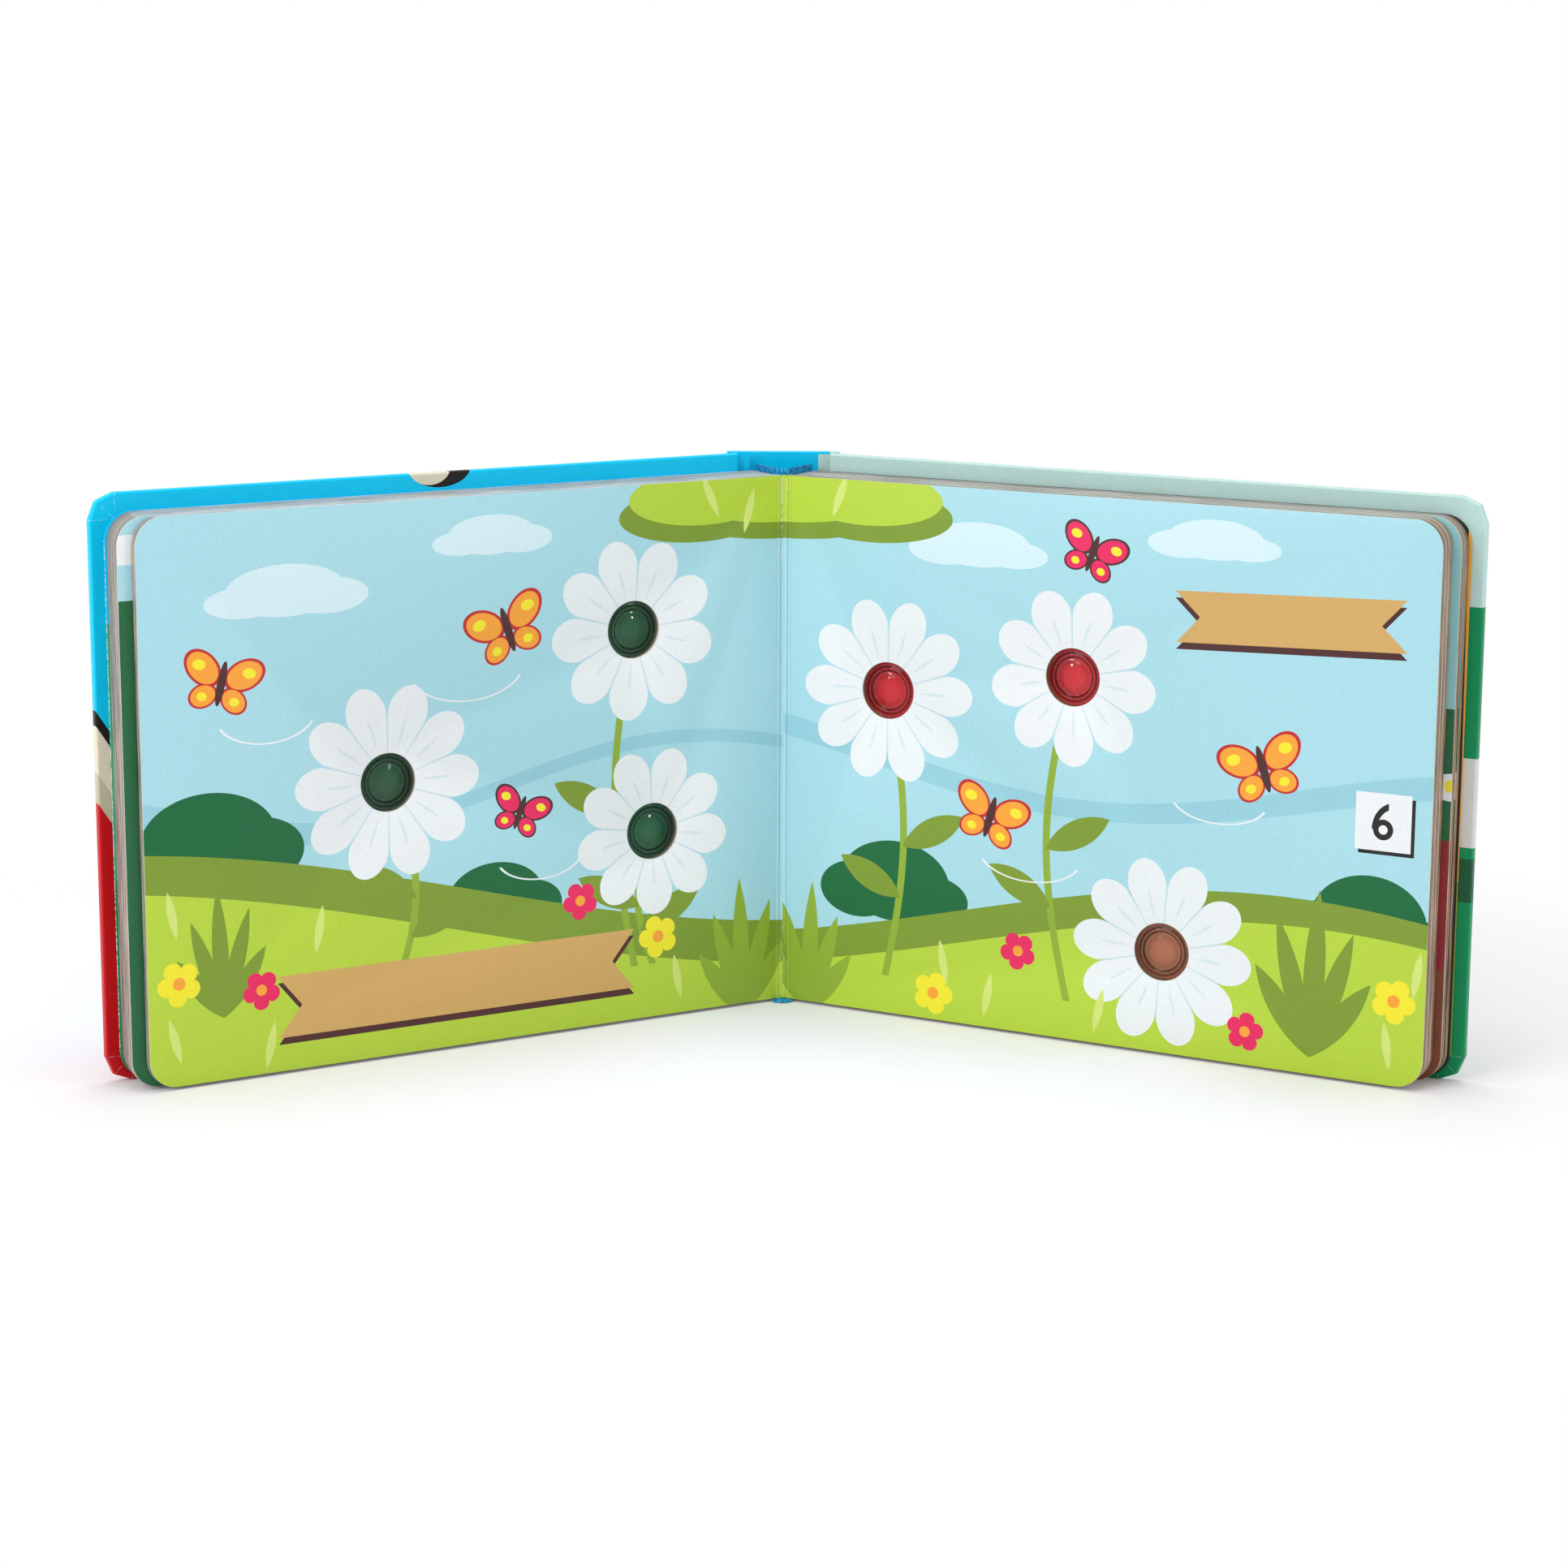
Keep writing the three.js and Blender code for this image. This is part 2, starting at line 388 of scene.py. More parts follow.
def blossoms(sheet, paper, places):
    """Small flowers of five petals with an orange eye."""
    for across, up, size, colour in places:
        paper = daisy(sheet, paper, across, up, size, 5, across * 7, colour, None)
        eye = oval(sheet, across, up, 0.28 * size, 0.28 * size)
        paper = lay(sheet.tree, paper, inside(sheet, eye), ORANGE)
    return paper


def grass(sheet, paper, across, foot, tall, colour):
    """Five blades from one root."""
    for lean, share, wide in BLADES:
        half = tall * share / 2
        turn = math.radians(lean)
        middle = (across + half * math.sin(turn), foot + half * math.cos(turn))
        blade = pointed(sheet, *middle, 2 * half, tall * wide, lean)
        paper = lay(sheet.tree, paper, inside(sheet, blade), colour)
    return paper


def strokes(sheet, paper, places):
    """Short pale strokes that liven a plain field."""
    for across, up, turn in places:
        stroke = pointed(sheet, across, up, 17, 3.2, turn)
        paper = lay(sheet.tree, paper, inside(sheet, stroke), PALE_LIME)
    return paper


def bush(sheet, paper, across, up, wide, high, colour=BOTTLE):
    crown = union(
        sheet,
        oval(sheet, across, up, wide, high),
        oval(sheet, across - 0.7 * wide, up - 0.3 * high, 0.7 * wide, 0.7 * high),
        oval(sheet, across + 0.7 * wide, up - 0.35 * high, 0.65 * wide, 0.6 * high),
    )
    return lay(sheet.tree, paper, inside(sheet, crown), colour)


# %% Butterflies, ribbons and a number


def butterfly(sheet, paper, across, up, size, turn, colour=ORANGE):
    """Four edged wings with yellow spots, and a body over them."""
    lean = math.radians(turn)

    def at(x, z):
        return (
            across + size * (x * math.cos(lean) + z * math.sin(lean)),
            up + size * (-x * math.sin(lean) + z * math.cos(lean)),
        )

    edge = RED if colour == ORANGE else BROWN
    for x in (-1, 1):
        for grow, tone in ((1.0, edge), (0.84, colour)):
            span = size * grow
            fore = oval(sheet, *at(0.52 * x, 0.28), 0.52 * span, 0.36 * span, turn - 32 * x)
            hind = oval(sheet, *at(0.38 * x, -0.34), 0.36 * span, 0.28 * span, turn + 30 * x)
            paper = lay(sheet.tree, paper, inside(sheet, union(sheet, fore, hind)), tone)
        spots = union(
            sheet,
            oval(sheet, *at(0.62 * x, 0.34), 0.16 * size, 0.12 * size, turn),
            oval(sheet, *at(0.40 * x, -0.36), 0.12 * size, 0.10 * size, turn),
        )
        paper = lay(sheet.tree, paper, inside(sheet, spots), YELLOW)
    body = oval(sheet, *at(0, 0), 0.10 * size, 0.52 * size, turn)
    return lay(sheet.tree, paper, inside(sheet, body), BROWN)


def breeze(sheet, paper, across, up, wide, high):
    """A thin white line, the lower half of an oval's edge."""
    tree = sheet.tree
    x, z = local(sheet, across, up, wide, high)
    edge = calc(tree, "COMPARE", squared(sheet, x, z), 1.0, 1.0 / wide)
    line = both(sheet, edge, calc(tree, "LESS_THAN", z, -0.35))
    return lay(tree, paper, line, WHITE)


def ribbon(sheet, paper, across, up, reach, high, turn):
    """A plain tan band with notched ends, over its own dark shadow."""
    tree = sheet.tree
    for drop, colour in ((2.4, BROWN), (0.0, TAN)):
        x, z = local(sheet, across, up - drop, 1, high, turn)
        height = calc(tree, "ABSOLUTE", z)
        end = calc(tree, "MULTIPLY_ADD", height, 9.0, reach - 9.0)
        band = both(
            sheet,
            calc(tree, "LESS_THAN", calc(tree, "ABSOLUTE", x), end),
            calc(tree, "LESS_THAN", height, 1.0),
        )
        paper = lay(tree, paper, band, colour)
    return paper


def number_six(sheet, paper, across, up, half):
    """A white card with a plain number, over its own shadow."""
    tree = sheet.tree
    for drop, colour in ((1.3, BLACK), (0.0, WHITE)):
        x, z = local(sheet, across + drop, up - drop, half, half)
        card = calc(tree, "MAXIMUM", calc(tree, "ABSOLUTE", x), calc(tree, "ABSOLUTE", z))
        paper = lay(tree, paper, inside(sheet, card), colour)
    low = up - 0.26 * half
    bowl = calc(tree, "COMPARE", oval(sheet, across, low, 0.36 * half, 0.36 * half), 0.6, 0.4)
    bend_x, bend_z = local(sheet, across + 0.42 * half, low, 0.86 * half, 1.0 * half)
    bend = squared(sheet, bend_x, bend_z)
    back = calc(tree, "COMPARE", bend, 0.74, 0.19)
    back = both(sheet, back, calc(tree, "GREATER_THAN", bend_z, 0.0))
    back = both(sheet, back, calc(tree, "LESS_THAN", bend_x, -0.28))
    return lay(tree, paper, calc(tree, "MAXIMUM", bowl, back), BLACK)


# %% [markdown]
# ## The printed leaves
# The same material serves a whole pile. Faces that look at the reader carry print, the top leaf
# the meadow and the leaves behind it plain fields, which show at the fore-edge and through the
# clear buttons. All other faces are cut board: greyish tan, with the seam of the two cards, a
# painted paler tone on the upward faces where light falls from above, and painted shade in the
# gaps behind the last leaves of the right-hand pile. The score lines of the gutter have worn
# white in places, and each fold carries a painted shadow.

# %% The board's cut edges
LEAF_THICK = 3.3
LEAF_PITCH = 3.8
CUT = {  # plain board and its dark fibres
    FRONT: (ink(184, 170, 152), ink(98, 96, 102)),
    BACK: (ink(182, 156, 128), ink(84, 58, 54)),
}
# painted light: the upward cut faces are paler and greyer, as light falls on them from above
CUT_TOP_LIT = {FRONT: ink(205, 210, 210), BACK: ink(176, 172, 162)}
COATING = ink(226, 224, 219)
# dark lines in the board; the right-hand pile's lines at 14.95 and 18.2 are painted shade in the
# gaps behind its last two leaves
BOARD_LINES_AND_GAP_SHADE = {  # depth behind the page and half width in millimetres
    FRONT: ((7.9, 0.2), (9.3, 0.22), (11.7, 0.3), (13.6, 0.2), (15.5, 0.3), (17.0, 0.25)),
    BACK: ((1.1, 0.12), (14.95, 0.5), (18.2, 0.5)),
}
# ink of the board's dark lines and of the painted gap shade
LINE_AND_GAP_SHADE_INK = {FRONT: ink(112, 100, 100), BACK: ink(48, 36, 36)}
SCORE_MIDDLE = 92.0
UNCRACKED = {FRONT: 0.72, BACK: 0.78}  # the noise up to which the coating holds there


def button_spot(name, side):
    """A button's middle in millimetres from the score line and from the page's foot."""
    points = measured(name, side)
    spans = [(min(p[i] for p in points), max(p[i] for p in points)) for i in (0, 2)]
    return (sum(spans[0]) / 2 / MM, (sum(spans[1]) / 2 - page_foot) / MM)


def cut_board(sheet, side):
    """Die-cut board: fibres, a glued seam, pale coatings, dark lines, painted light and shade."""
    tree = sheet.tree
    within = calc(tree, "WRAP", sheet.depth, LEAF_PITCH, 0.0)
    along = calc(tree, "MULTIPLY", calc(tree, "ADD", sheet.across, sheet.up), 0.04)
    fibre_place = feed(tree, "CombineXYZ", along, calc(tree, "MULTIPLY", sheet.depth, 1.7), 0.0)
    fibre = feed(tree, "TexNoise", fibre_place, None, 1.0, 4.0, 0.6)
    plain, dark = CUT[side]
    # painted light on the upward faces of the leaves
    head = calc(tree, "GREATER_THAN", sheet.up, (page_head - page_foot) / MM - 0.4)
    colour = lay(tree, plain, head, CUT_TOP_LIT[side])
    fibres = feed(tree, "MapRange", fibre, 0.46, 0.6, 0.0, 0.9)
    colour = lay(tree, colour, fibres, dark)
    seam = calc(tree, "COMPARE", within, LEAF_THICK / 2, 0.16)
    colour = lay(tree, colour, calc(tree, "MULTIPLY", seam, 0.75), dark)
    coat = calc(tree, "COMPARE", within, 0.0, 0.2)
    colour = lay(tree, colour, calc(tree, "MULTIPLY", coat, 0.7), COATING)
    # dark lines of the board, and on the right-hand pile painted shade in the gaps between leaves
    for depth, half in BOARD_LINES_AND_GAP_SHADE[side]:
        line = calc(tree, "COMPARE", sheet.depth, depth, half)
        colour = lay(tree, colour, calc(tree, "MULTIPLY", line, 0.85), LINE_AND_GAP_SHADE_INK[side])
    return colour


def shaded_and_worn_scores(sheet, side, paper):
    """A faint painted shadow in the fold, and white flecks of cracked coating, most at the ends.
    """
    tree = sheet.tree
    along = calc(tree, "MULTIPLY", sheet.up, 0.55)
    place = feed(tree, "CombineXYZ", along, calc(tree, "MULTIPLY", sheet.across, 2.0), 0.0)
    fleck = feed(tree, "TexNoise", place, None, 1.0, 3.0, 0.7)
    high = calc(tree, "ABSOLUTE", calc(tree, "ADD", sheet.up, -SCORE_MIDDLE))
    whole = UNCRACKED[side]
    limit = feed(tree, "MapRange", high, 40.0, 100.0, whole, whole - 0.24)
    cracked = calc(tree, "GREATER_THAN", fleck, limit)
    # painted shadow: a faint dark line along the fold of the score
    line = calc(tree, "COMPARE", sheet.across, 0.6, 0.16)
    paper = lay(tree, paper, both(sheet, line, 0.45), BROWN)
    near = calc(tree, "COMPARE", sheet.across, 0.25, 0.27)
    return lay(tree, paper, both(sheet, near, cracked), COATING)


# %% The print on the two open pages


def meadow_front(sheet):
    """The print of the page on the reader's left."""
    tree = sheet.tree
    paper = lay(tree, SKY, below(sheet, 96, 10, 40, 0.4), HAZE)
    paper = lay(tree, paper, below(sheet, 90, 11, 43, 0.5), SKY)
    paper = bush(sheet, paper, 196, 168, 22, 9, CLOUD)
    paper = bush(sheet, paper, 118, 182, 17, 7, CLOUD)
    paper = bush(sheet, paper, 0, 190, 50, 17, OLIVE)
    paper = bush(sheet, paper, 0, 196, 47, 17, LIME)
    paper = bush(sheet, paper, 226, 84, 25, 17)
    paper = bush(sheet, paper, 118, 52, 19, 13)
    paper = lay(tree, paper, below(sheet, 56, 28, 105, -1.2), OLIVE)
    paper = lay(tree, paper, below(sheet, 42, 30, 110, -1.2), LIME)
    flowers = {  # bend of the stalk, then radius, petals and turn
        "front_upper_button": (8, (33, 9, 5)),
        "front_outer_button": (-10, (35, 10, 0)),
        "front_lower_button": (6, (31, 9, 12)),
    }
    paper = daisies(sheet, paper, FRONT, 20, flowers)
    paper = grass(sheet, paper, 16, -4, 52, LEAF)
    paper = grass(sheet, paper, 222, 22, 46, OLIVE)
    paper = ribbon(sheet, paper, 132, 23, 70, 11, 0)
    low = ((240, 60, 10), (205, 10, -12), (240, 16, 14), (44, 14, 10), (186, 49, -10))
    paper = strokes(sheet, paper, (*low, (30, 190, 24), (14, 184, -14)))
    paper = butterfly(sheet, paper, 112, 148, 16, 18)
    paper = butterfly(sheet, paper, 108, 82, 12, -22, PINK)
    paper = butterfly(sheet, paper, 220, 138, 15, -14)
    paper = breeze(sheet, paper, 128, 136, 22, 12)
    paper = breeze(sheet, paper, 204, 126, 18, 10)
    paper = breeze(sheet, paper, 100, 66, 17, 9)
    outer = ((238, 36, 8, YELLOW), (208, 30, 7, PINK))
    return blossoms(sheet, paper, (*outer, (52, 30, 8, YELLOW), (84, 47, 7, PINK)))


def meadow_back(sheet):
    """The print of the page on the reader's right."""
    tree = sheet.tree
    paper = lay(tree, SKY, below(sheet, 100, 12, 52, 2.4), HAZE)
    paper = lay(tree, paper, below(sheet, 93, 12, 55, 2.5), SKY)
    paper = bush(sheet, paper, 78, 176, 20, 8, CLOUD)
    paper = bush(sheet, paper, 168, 184, 18, 7, CLOUD)
    paper = bush(sheet, paper, 0, 190, 50, 17, OLIVE)
    paper = bush(sheet, paper, 0, 196, 47, 17, LIME)
    paper = bush(sheet, paper, 228, 56, 21, 17)
    paper = bush(sheet, paper, 46, 50, 22, 15)
    paper = lay(tree, paper, below(sheet, 42, 20, 80, -0.9), OLIVE)
    paper = lay(tree, paper, below(sheet, 31, 21, 84, -0.9), LIME)
    flowers = {
        "back_upper_button": (7, (34, 10, 0)),
        "back_outer_button": (-9, (32, 9, 8)),
        "back_lower_button": (None, (34, 10, 4)),
    }
    paper = daisies(sheet, paper, BACK, 14, flowers)
    paper = grass(sheet, paper, 10, -4, 50, LEAF)
    paper = grass(sheet, paper, 208, 6, 60, OLIVE)
    paper = ribbon(sheet, paper, 196, 158, 42, 9, -2)
    paper = number_six(sheet, paper, 232, 92, 10)
    low = ((84, 12, 10), (66, 22, -10), (128, 12, 12), (236, 14, -8), (246, 40, 8))
    paper = strokes(sheet, paper, (*low, (22, 190, 20)))
    paper = butterfly(sheet, paper, 84, 78, 15, 16)
    paper = butterfly(sheet, paper, 188, 106, 16, -18)
    paper = butterfly(sheet, paper, 122, 176, 13, 20, PINK)
    paper = breeze(sheet, paper, 100, 66, 20, 10)
    paper = breeze(sheet, paper, 172, 94, 18, 9)
    inner = ((96, 30, 7, PINK), (62, 10, 8, YELLOW))
    return blossoms(sheet, paper, ((238, 30, 8, YELLOW), *inner, (184, 12, 7, PINK)))


# %% The plain fields behind them
FIELD_RADIUS = 13  # of the coloured field behind each button
PRESSED = {
    "front_upper_button": ink(0, 92, 48),
    "front_outer_button": ink(0, 86, 46),
    "front_lower_button": ink(6, 102, 68),
    "back_upper_button": ink(236, 14, 36),
    "back_outer_button": ink(236, 14, 36),
    "back_lower_button": ink(204, 116, 80),
}


def buttons_of(side):
    return [n for n in frame["nodes"] if n.endswith("_button") and n.startswith(PREFIX[side])]


def leaf_behind_front(sheet):
    """Fields on the leaves behind the page on the left."""
    tree = sheet.tree
    paper = lay(tree, ink(24, 98, 56), calc(tree, "GREATER_THAN", sheet.up, 168), SKY)
    white = calc(tree, "COMPARE", sheet.up, 185, 5)
    return lay(tree, paper, white, WHITE)


def leaf_behind_back(sheet):
    """Fields on the leaves behind the page on the right."""
    tree = sheet.tree
    paper = lay(tree, ink(140, 28, 32), calc(tree, "LESS_THAN", sheet.up, 40), ink(122, 62, 34))
    paper = lay(tree, paper, calc(tree, "GREATER_THAN", sheet.up, 85.5), ink(28, 96, 56))
    paper = lay(tree, paper, calc(tree, "GREATER_THAN", sheet.up, 131), ink(140, 196, 200))
    paper = lay(tree, paper, inside(sheet, oval(sheet, 252, 104, 8, 4.8)), WHITE)
    return lay(tree, paper, inside(sheet, oval(sheet, 251, 104.4, 1.9, 2.2)), YELLOW)


PRINT = {FRONT: meadow_front, BACK: meadow_back}
BEHIND = {FRONT: leaf_behind_front, BACK: leaf_behind_back}


def page_material(side):
    material, tree, shader = new_material(PREFIX[side] + "_printed_board")
    sheet = Sheet(tree, side)
    behind = BEHIND[side](sheet)
    for name in buttons_of(side):
        field = oval(sheet, *button_spot(name, side), FIELD_RADIUS, FIELD_RADIUS)
        behind = lay(tree, behind, inside(sheet, field), PRESSED[name])
    top_leaf = calc(tree, "LESS_THAN", sheet.depth, LEAF_THICK / 2)
    printed = lay(tree, behind, top_leaf, shaded_and_worn_scores(sheet, side, PRINT[side](sheet)))
    colour = lay(tree, cut_board(sheet, side), sheet.faces_reader, printed)
    finish_board(tree, shader, colour, 0.4)
    return material


page_looks = {side: page_material(side) for side in (FRONT, BACK)}
print("page materials have", [len(m.node_tree.nodes) for m in page_looks.values()], "nodes")

# %% [markdown]
# ## The leaves
# A leaf is die-cut from thick board: square at the gutter, with rounded corners at the
# fore-edge and slightly softened edges. It starts as a cube, two of its edges are bevelled wide,
# the button holes are cut through the top leaf, and a fine bevel softens every edge.

# %% Modelling helpers
CORNER_STEPS = 14
SOFT_STEPS = 2
SOFT_ANGLE = math.radians(40)
SMOOTH_ANGLE = math.radians(35)
FILM_SMOOTH = math.radians(50)
SHEET_SMOOTH = math.radians(45)
SAME_PLACE = 1e-6


def only(piece):
    bpy.ops.object.select_all(action="DESELECT")
    piece.select_set(True)
    bpy.context.view_layer.objects.active = piece


def block(name, side, across, depth, up):
    """A box between pairs of distances across the page, behind its face and up from the table."""
    spans = (tuple(side * x for x in across), depth, up)
    bpy.ops.object.select_all(action="DESELECT")
    bpy.ops.mesh.primitive_cube_add(size=1, location=[sum(span) / 2 for span in spans])
    piece = bpy.context.object
    piece.name = name
    piece.scale = [abs(span[1] - span[0]) for span in spans]
    bpy.ops.object.transform_apply(location=True, rotation=False, scale=True)
    return piece


def round_fore_edge(piece, side, reach, radius, steps):
    """Bevels the two edges that run through the board at the fore-edge."""
    only(piece)
    bpy.ops.object.mode_set(mode="EDIT")
    bpy.ops.mesh.select_mode(type="EDGE")
    bpy.ops.mesh.select_all(action="DESELECT")
    shape = bmesh.from_edit_mesh(piece.data)
    for edge in shape.edges:
        a, b = (v.co for v in edge.verts)
        at_reach = all(abs(side * p.x - reach) < SAME_PLACE for p in (a, b))
        if at_reach and abs(a.y - b.y) > SAME_PLACE:
            edge.select_set(True)
    bmesh.update_edit_mesh(piece.data)
    bpy.ops.mesh.bevel(offset=radius, segments=steps, affect="EDGES")
    bpy.ops.object.mode_set(mode="OBJECT")


def soften(piece, width):
    """A fine bevel on all sharp edges, applied, with smooth shading between flat faces."""
    only(piece)
    bevel = piece.modifiers.new("soft edge", "BEVEL")
    bevel.width = width
    bevel.segments = SOFT_STEPS
    bevel.limit_method = "ANGLE"
    bevel.angle_limit = SOFT_ANGLE
    bevel.harden_normals = False
    bpy.ops.object.modifier_apply(modifier=bevel.name)
    bpy.ops.object.shade_smooth_by_angle(angle=SMOOTH_ANGLE)


def stand(piece, side):
    """Moves a finished piece from its half's own frame to its place in the book."""
    only(piece)
    piece.matrix_world = half_frame(side)
    bpy.ops.object.transform_apply(location=True, rotation=True, scale=True)


def give(piece, material):
    piece.data.materials.clear()
    piece.data.materials.append(material)


# %% The two piles of leaves
PAGE_CORNER = 10 * MM
LEAF_EDGE = 0.25 * MM
HOLE_RADIUS = 10.35 * MM
LEAVES = 5
LAYER_MARGIN = 0.01 * MM
GLUE_DEPTH = 5 * MM
GLUE_INSET = 0.05 * MM
HOLE_STEPS = 96


def punch(leaf, side, spot):
    """Cuts one round hole through the top leaf."""
    across, up = spot
    bpy.ops.object.select_all(action="DESELECT")
    bpy.ops.mesh.primitive_cylinder_add(
        vertices=HOLE_STEPS,
        radius=HOLE_RADIUS,
        depth=3 * LEAF_THICK * MM,
        location=(side * across * MM, 0, page_foot + up * MM),
        rotation=(math.pi / 2, 0, 0),
    )
    cutter = bpy.context.object
    only(leaf)
    cut = leaf.modifiers.new("hole", "BOOLEAN")
    cut.operation = "DIFFERENCE"
    cut.solver = "EXACT"
    cut.object = cutter
    bpy.ops.object.modifier_apply(modifier=cut.name)
    bpy.data.objects.remove(cutter)


def make_pile(side):
    """Five leaves, the first with its holes, joined by a thin block of glue at the spine."""
    points = measured(PREFIX[side] + "_pages", side)
    made = []
    for index in range(LEAVES):
        front = index * LEAF_PITCH * MM
        back = front + LEAF_THICK * MM
        own = [p for p in points if front - LAYER_MARGIN < p[1] < back + LAYER_MARGIN]
        start = min(p[0] for p in own)
        reach = max(p[0] for p in own)
        leaf = block(f"leaf_{index}", side, (start, reach), (front, back), (page_foot, page_head))
        round_fore_edge(leaf, side, reach, PAGE_CORNER, CORNER_STEPS)
        if index == 0:
            for name in buttons_of(side):
                punch(leaf, side, button_spot(name, side))
        soften(leaf, LEAF_EDGE)
        made.append(leaf)
    start = min(p[0] for p in points if p[1] > LEAF_PITCH * MM)
    depth = (GLUE_INSET, max(p[1] for p in points) - GLUE_INSET)
    tall = (page_foot + GLUE_INSET, page_head - GLUE_INSET)
    made.append(block("glue", side, (start, start + GLUE_DEPTH), depth, tall))
    only(made[0])
    for piece in made:
        piece.select_set(True)
    bpy.ops.object.join()
    pile = bpy.context.object
    pile.name = PREFIX[side] + "_leaves"
    stand(pile, side)
    give(pile, page_looks[side])
    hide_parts(PREFIX[side] + "_pages")
    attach(pile, BODY[side])
    print(pile.name, "has", len(pile.data.polygons), "faces")


for side in (FRONT, BACK):
    make_pile(side)

# %% [markdown]
# ## The clear pop buttons
# Each button is vacuum-formed from one clear film: a flat rim, a raised ring, a groove and a low
# cone that points at the reader. A circle is extruded and drawn in step by step, like a profile
# turned on a lathe, and Solidify gives the film its thickness. Thin film hardly bends the light,
# so it is clear glass with a low refraction, and its steep walls get a painted shade that shows
# their form.

# %% The film and its profile
FILM_THICK = 0.4 * MM
FILM_STEPS = 96
FILM_CLEAR = ink(246, 250, 248)
# painted shade for the film's steep walls
FILM_WALL_SHADE = ink(104, 120, 112)
PROFILE = [  # radius and depth behind the page face, in millimetres, from the rim inwards
    (9.95, 1.5),
    (9.2, 1.5),
    (8.95, 1.42),
    (8.35, 0.98),
    (8.1, 0.88),
    (7.7, 0.88),
    (7.45, 0.98),
    (6.9, 1.46),
    (6.65, 1.54),
    (6.25, 1.5),
    (5.3, 1.14),
    (3.8, 0.8),
    (2.2, 0.57),
    (1.0, 0.48),
    (0.3, 0.46),
]


def film_material(side):
    """Clear film with painted shade on its steep walls, for the dark rings refraction makes."""
    material, tree, shader = new_material(PREFIX[side] + "_clear_film")
    shader.inputs["Roughness"].default_value = 0.03
    shader.inputs["IOR"].default_value = 1.26
    shader.inputs["Transmission Weight"].default_value = 1.0
    normal = tree.nodes.new("ShaderNodeTexCoord").outputs["Normal"]
    axis = (side * math.sin(half_angle), math.cos(half_angle), 0)
    along = feed(tree, "VectorMath", normal, axis, operation="DOT_PRODUCT", out=1)
    # painted shade: the steeper the wall, the darker the film, in place of refraction's dark rings
    painted_wall_shade = feed(tree, "MapRange", calc(tree, "ABSOLUTE", along), 0.84, 0.985, 1.0, 0.0)
    tree.links.new(lay(tree, FILM_CLEAR, painted_wall_shade, FILM_WALL_SHADE), shader.inputs["Base Color"])
    place = tree.nodes.new("ShaderNodeTexCoord").outputs["Object"]
    ripple = feed(tree, "TexNoise", place, None, 110.0, 2.0, 0.5)
    roughen(tree, shader, ripple, 0.12, 0.001)
    return material


def make_button(name, side, look):
    """Draws a circle in, ring by ring, in the half's own frame, and stands it in its hole."""
    across, up = button_spot(name, side)
    middle = Vector((side * across * MM, 0, page_foot + up * MM))
    first_radius, first_depth = PROFILE[0]
    bpy.ops.object.select_all(action="DESELECT")
    bpy.ops.mesh.primitive_circle_add(
        vertices=FILM_STEPS,
        radius=first_radius * MM,
        location=(0, 0, 0),
        rotation=(math.pi / 2, 0, 0),
    )
    film = bpy.context.object
    film.name = name.replace("_button", "_film")
    bpy.ops.object.transform_apply(location=False, rotation=True, scale=False)
    bpy.ops.object.mode_set(mode="EDIT")
    bpy.ops.mesh.select_all(action="SELECT")
    bpy.ops.transform.translate(value=(0, first_depth * MM, 0))
    radius, depth = first_radius, first_depth
    for next_radius, next_depth in PROFILE[1:]:
        bpy.ops.mesh.extrude_region_move()
        share = next_radius / radius
        bpy.ops.transform.resize(value=(share, 1, share), center_override=(0, depth * MM, 0))
        bpy.ops.transform.translate(value=(0, (next_depth - depth) * MM, 0))
        radius, depth = next_radius, next_depth
    bpy.ops.mesh.edge_face_add()
    bpy.ops.mesh.select_all(action="SELECT")
    bpy.ops.mesh.normals_make_consistent(inside=False)
    bpy.ops.object.mode_set(mode="OBJECT")
    thick = film.modifiers.new("film", "SOLIDIFY")
    thick.thickness = FILM_THICK
    thick.offset = 0
    bpy.ops.object.modifier_apply(modifier=thick.name)
    bpy.ops.object.shade_smooth_by_angle(angle=FILM_SMOOTH)
    film.data.transform(Matrix.Translation(middle))
    stand(film, side)
    give(film, look)
    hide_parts(name)
    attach(film, name)
    return film


film_looks = {side: film_material(side) for side in (FRONT, BACK)}
films = [
    make_button(name, side, film_looks[side])
    for side in (FRONT, BACK)
    for name in buttons_of(side)
]
print("made", len(films), "buttons of", len(films[0].data.polygons), "faces")

# %% [markdown]
# ## Covers, paste-downs, lining and spine
# These solids already have their form, so a merged copy of each gets its own look, and all but
# the covers get softer edges. The wrap is laminated paper: smooth and a little glossy. Its print
# shows inside the cover as a narrow border, where the wrap is turned in under the paste-down.

# %% Looks of the wrap and the papers
BLUE = ink(0, 204, 248)
CREAM = ink(226, 220, 196)
CREAM_SHADE = ink(196, 192, 166)
BARN_RED = ink(198, 14, 22)
PALE_GREEN = ink(188, 220, 215)
GREEN = ink(0, 140, 84)
WRAP_WHITE = ink(212, 214, 208)
DARK_GREEN = ink(24, 88, 54)
COVER_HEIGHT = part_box("front_cover")[1].z / MM
COVER_CORNER = 9.0
PASTE_REACH = max(p[0] for p in measured("front_paste_down", FRONT)) / MM
PASTE_INKS = {  # above and below
    FRONT: (ink(60, 176, 136), ink(24, 140, 90)),
    BACK: (ink(232, 160, 52), ink(140, 146, 36)),
}
CORNER_MIDDLE_ACROSS = max(p[0] for p in measured("front_cover", FRONT)) / MM - COVER_CORNER
SLANTS = ((-270, BLACK), (-275.3, CREAM), (-291.5, CREAM_SHADE), (-302, BARN_RED))
WRAP_FINISH = {"roughness": 0.3, "grain": 500.0, "gleam": 0.2}
SPINE_GREEN_FROM = 16.9 * MM


